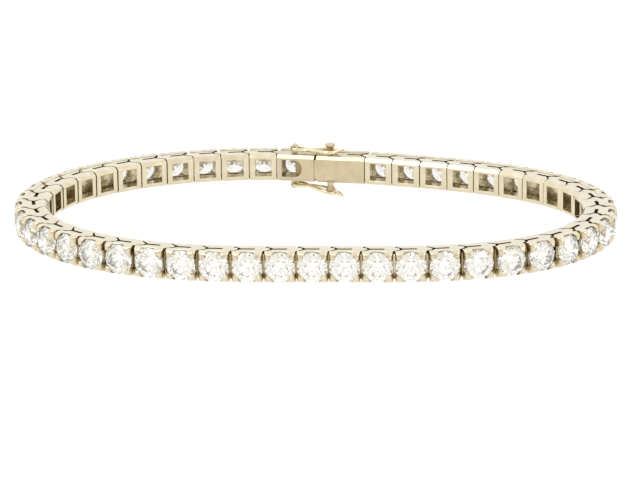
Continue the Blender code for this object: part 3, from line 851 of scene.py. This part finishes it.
def joint_bends(pins):
    """The bend at each pin in whole degrees, towards the wrist positive; the ring closes over the clasp."""
    ring = [pins[-1]] + pins + [pins[0]]
    return [
        round(abs(math.degrees((here - before).angle_signed(after - here))))
        for before, here, after in zip(ring, ring[1:], ring[2:])
    ]


def along(start, end):
    """The frame at start whose X runs to end and whose Y points to the wrist, as the ring rests."""
    direction = end - start
    turn = Matrix.Rotation(math.atan2(direction.y, direction.x), 4, "Z")
    rest = Matrix.Translation(REST_SHIFT) @ Matrix.Rotation(LEAN, 4, "X")
    return rest @ Matrix.Translation((start.x, start.y, 0)) @ turn


# Metals and stones


def node(tree, kind, place, **values):
    made = tree.nodes.new(kind)
    made.location = place
    for key, value in values.items():
        made.inputs[key].default_value = value
    return made


def gold(name, colour, dark, shaded, roughness, spread, scratch_scale, bump):
    """Polished white gold: fine scratches, an uneven shine, a warmer tone in places, and painted shade in
    recesses.
    """
    material = bpy.data.materials.new(name)
    material.use_nodes = True
    tree = material.node_tree
    shader = tree.nodes["Principled BSDF"]
    shader.inputs["Metallic"].default_value = 1.0
    coordinates = node(tree, "ShaderNodeTexCoord", (-1100, 0))

    cloud = node(tree, "ShaderNodeTexNoise", (-850, 150), Scale=900.0, Detail=3.0, Roughness=0.6)
    tree.links.new(coordinates.outputs["Object"], cloud.inputs["Vector"])
    tone = node(tree, "ShaderNodeValToRGB", (-550, 200))
    tone.color_ramp.elements[0].position = 0.30
    tone.color_ramp.elements[0].color = (*dark, 1.0)
    tone.color_ramp.elements[1].position = 0.62
    tone.color_ramp.elements[1].color = (*colour, 1.0)
    tree.links.new(cloud.outputs["Fac"], tone.inputs["Fac"])

    # Painted shade: each face's recess share mixes the colour towards the shaded one
    recess = tree.nodes.new("ShaderNodeAttribute")
    recess.attribute_name = "recess"
    recess.location = (-850, 400)
    shade = tree.nodes.new("ShaderNodeMix")
    shade.data_type = "RGBA"
    shade.location = (-250, 250)
    shade.inputs["B"].default_value = (*shaded, 1.0)
    tree.links.new(recess.outputs["Fac"], shade.inputs["Factor"])
    tree.links.new(tone.outputs["Color"], shade.inputs["A"])
    tree.links.new(shade.outputs["Result"], shader.inputs["Base Color"])

    shine = node(tree, "ShaderNodeMapRange", (-550, -50))
    shine.inputs["To Min"].default_value = roughness - spread
    shine.inputs["To Max"].default_value = roughness + spread
    tree.links.new(cloud.outputs["Fac"], shine.inputs["Value"])
    tree.links.new(shine.outputs["Result"], shader.inputs["Roughness"])

    density = (scratch_scale, scratch_scale * SCRATCH_STRETCH, scratch_scale)
    stretch = node(tree, "ShaderNodeMapping", (-850, -300), Scale=density)
    tree.links.new(coordinates.outputs["Object"], stretch.inputs["Vector"])
    scratches = node(tree, "ShaderNodeTexNoise", (-650, -300), Scale=1.0, Detail=2.0, Roughness=0.5)
    tree.links.new(stretch.outputs["Vector"], scratches.inputs["Vector"])
    relief = node(tree, "ShaderNodeBump", (-400, -300), Strength=bump, Distance=0.00002)
    tree.links.new(scratches.outputs["Fac"], relief.inputs["Height"])
    tree.links.new(relief.outputs["Normal"], shader.inputs["Normal"])
    return material


def diamond(name):
    """Clear cut stone, with the faintest uneven warmth and a faint painted warm glow."""
    material = bpy.data.materials.new(name)
    material.use_nodes = True
    tree = material.node_tree
    shader = tree.nodes["Principled BSDF"]
    shader.inputs["Metallic"].default_value = 0.0
    shader.inputs["Roughness"].default_value = 0.0
    shader.inputs["IOR"].default_value = 2.417
    shader.inputs["Transmission Weight"].default_value = 1.0
    # A faint painted glow, not a lamp, that lifts the stone's darkest facets
    shader.inputs["Emission Color"].default_value = (1.0, 0.94, 0.78, 1.0)
    shader.inputs["Emission Strength"].default_value = 0.035
    coordinates = node(tree, "ShaderNodeTexCoord", (-800, 0))
    cloud = node(tree, "ShaderNodeTexNoise", (-600, 0), Scale=500.0, Detail=2.0)
    tree.links.new(coordinates.outputs["Object"], cloud.inputs["Vector"])
    tone = node(tree, "ShaderNodeValToRGB", (-350, 0))
    tone.color_ramp.elements[0].color = (0.985, 0.98, 0.965, 1.0)
    tone.color_ramp.elements[1].color = (1.0, 1.0, 1.0, 1.0)
    tree.links.new(cloud.outputs["Fac"], tone.inputs["Fac"])
    tree.links.new(tone.outputs["Color"], shader.inputs["Base Color"])
    return material


# The pieces in their places


def add_piece(name, mesh, place, material, body):
    piece = bpy.data.objects.new(name, mesh)
    bpy.context.scene.collection.objects.link(piece)
    piece.matrix_world = place
    if not mesh.materials:
        mesh.materials.append(material)
    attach(piece, body)
    return piece


# Each gold's shaded colour is the painted shade of its tucked-away faces
link_gold = gold(
    "link_white_gold", colour=(0.80, 0.715, 0.53), dark=(0.715, 0.615, 0.42), shaded=(0.43, 0.35, 0.20),
    roughness=0.20, spread=0.06, scratch_scale=90000.0, bump=0.06,
)
clasp_gold = gold(
    "clasp_white_gold", colour=(0.69, 0.588, 0.40), dark=(0.615, 0.505, 0.325), shaded=(0.36, 0.27, 0.15),
    roughness=0.30, spread=0.08, scratch_scale=70000.0, bump=0.12,
)
catch_gold = gold(
    "catch_white_gold", colour=(0.88, 0.82, 0.60), dark=(0.79, 0.71, 0.47), shaded=(0.46, 0.38, 0.24),
    roughness=0.13, spread=0.05, scratch_scale=90000.0, bump=0.06,
)
clear_stone = diamond("brilliant_cut_diamond")

pins = closing_route()
bends = joint_bends(pins)
stone = brilliant()
link_centre = -PIN_SETBACK + BODY_LENGTH / 2
for number, (pin, next_pin) in enumerate(zip(pins, pins[1:]), start=1):
    place = along(pin, next_pin)
    setting = link_mesh(bends[number - 1], bends[number])
    piece = add_piece(f"link_{number:02d}_setting", setting, place, link_gold, "bracelet")
    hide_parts(f"link_{number:02d}")
    add_piece(f"link_{number:02d}_stone", stone, place @ stone_place(link_centre, STONE_TURN * number),
              clear_stone, "bracelet")

clasp_place = along(pins[-1], pins[0])
box = box_mesh(bends[-1])
case = add_piece("clasp_box_case", box, clasp_place, clasp_gold, "bracelet")
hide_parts("clasp_box")
tongue = tongue_mesh(bends[0])
half = add_piece("clasp_tongue_frame", tongue, clasp_place, clasp_gold, "bracelet")
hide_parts("clasp_tongue")
for number, centre in enumerate(box_centres() + [tongue_centre()], start=1):
    add_piece(f"clasp_stone_{number}", stone, clasp_place @ stone_place(centre, STONE_TURN * number),
              clear_stone, "bracelet")

wire = catch_mesh()
for name, side, opened in (("upper", 1, 0.0), ("lower", -1, LOWER_CATCH_OPEN)):
    hinge = clasp_place @ Matrix.Translation((HINGE_X, CATCH_OFFSET, side * (BASE_HALF + HINGE_HEIGHT)))
    facing = Matrix.Identity(4) if side > 0 else Matrix.Rotation(math.pi, 4, "X")
    place = hinge @ facing @ Matrix.Rotation(opened, 4, "Y")
    piece = add_piece(f"safety_catch_{name}_wire", wire, place, catch_gold, f"{name}_catch")
    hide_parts(f"safety_catch_{name}")


# Floor, light and camera


def floor_material():
    material = bpy.data.materials.new("white_table")
    material.use_nodes = True
    tree = material.node_tree
    shader = tree.nodes["Principled BSDF"]
    shader.inputs["Roughness"].default_value = 0.85
    shader.inputs["Specular IOR Level"].default_value = 0.2
    shader.inputs["Emission Color"].default_value = (1.0, 1.0, 1.0, 1.0)
    shader.inputs["Emission Strength"].default_value = 0.95
    coordinates = node(tree, "ShaderNodeTexCoord", (-800, 0))
    grain = node(tree, "ShaderNodeTexNoise", (-600, 0), Scale=40.0, Detail=4.0)
    tree.links.new(coordinates.outputs["Object"], grain.inputs["Vector"])
    tone = node(tree, "ShaderNodeValToRGB", (-350, 0))
    tone.color_ramp.elements[0].color = (0.085, 0.085, 0.083, 1.0)
    tone.color_ramp.elements[1].color = (0.10, 0.10, 0.10, 1.0)
    tree.links.new(grain.outputs["Fac"], tone.inputs["Fac"])
    tree.links.new(tone.outputs["Color"], shader.inputs["Base Color"])
    return material


def add_floor():
    bm = bmesh.new()
    bmesh.ops.create_grid(bm, x_segments=1, y_segments=1, size=4.0)
    floor = bpy.data.objects.new("floor", mesh_from("floor", bm))
    floor.data.materials.append(floor_material())
    bpy.context.scene.collection.objects.link(floor)


def add_light(name, place, size, power):
    """A soft rectangular light that faces the middle of the bracelet."""
    light = bpy.data.lights.new(name, "AREA")
    light.shape = "RECTANGLE"
    light.size, light.size_y = size
    light.energy = power
    lamp = bpy.data.objects.new(name, light)
    lamp.location = place
    lamp.rotation_euler = (-Vector(place)).to_track_quat("-Z", "Y").to_euler()
    bpy.context.scene.collection.objects.link(lamp)


def set_world():
    """A bright white surround, a little darker and warmer in front, a little cooler behind."""
    world = bpy.data.worlds.new("studio")
    world.use_nodes = True
    tree = world.node_tree
    background = tree.nodes["Background"]
    coordinates = node(tree, "ShaderNodeTexCoord", (-900, 0))
    parts = node(tree, "ShaderNodeSeparateXYZ", (-700, 0))
    tree.links.new(coordinates.outputs["Generated"], parts.inputs["Vector"])
    tone = node(tree, "ShaderNodeValToRGB", (-450, 0))
    tone.color_ramp.elements[0].color = (0.575, 0.55, 0.49, 1.0)
    tone.color_ramp.elements[1].color = (0.83, 0.86, 0.90, 1.0)
    tone.color_ramp.elements.new(0.35).color = (0.77, 0.765, 0.74, 1.0)
    tone.color_ramp.elements.new(0.55).color = (0.88, 0.88, 0.88, 1.0)
    reach = node(tree, "ShaderNodeMapRange", (-600, 0))
    reach.inputs["From Min"].default_value = -1.0
    reach.inputs["From Max"].default_value = 1.0
    tree.links.new(parts.outputs["Y"], reach.inputs["Value"])
    tree.links.new(reach.outputs["Result"], tone.inputs["Fac"])
    tree.links.new(tone.outputs["Color"], background.inputs["Color"])
    background.inputs["Strength"].default_value = 1.3
    bpy.context.scene.world = world


def add_camera():
    lens = bpy.data.cameras.new("camera")
    lens.lens = CAMERA_LENS
    lens.clip_start, lens.clip_end = 0.01, 20.0
    camera = bpy.data.objects.new("camera", lens)
    camera.location = CAMERA_PLACE
    camera.rotation_euler = Euler([math.radians(angle) for angle in CAMERA_TURN])
    bpy.context.scene.collection.objects.link(camera)
    bpy.context.scene.camera = camera


add_floor()
set_world()
add_light("key", place=(-0.25, -0.15, 0.55), size=(0.30, 0.25), power=0.7)
add_light("fill", place=(0.45, -0.25, 0.35), size=(0.20, 0.20), power=0.35)
add_camera()
bpy.context.scene.view_settings.view_transform = "Standard"
bpy.context.scene.view_settings.look = "None"
bpy.context.scene.view_settings.exposure = 0.0
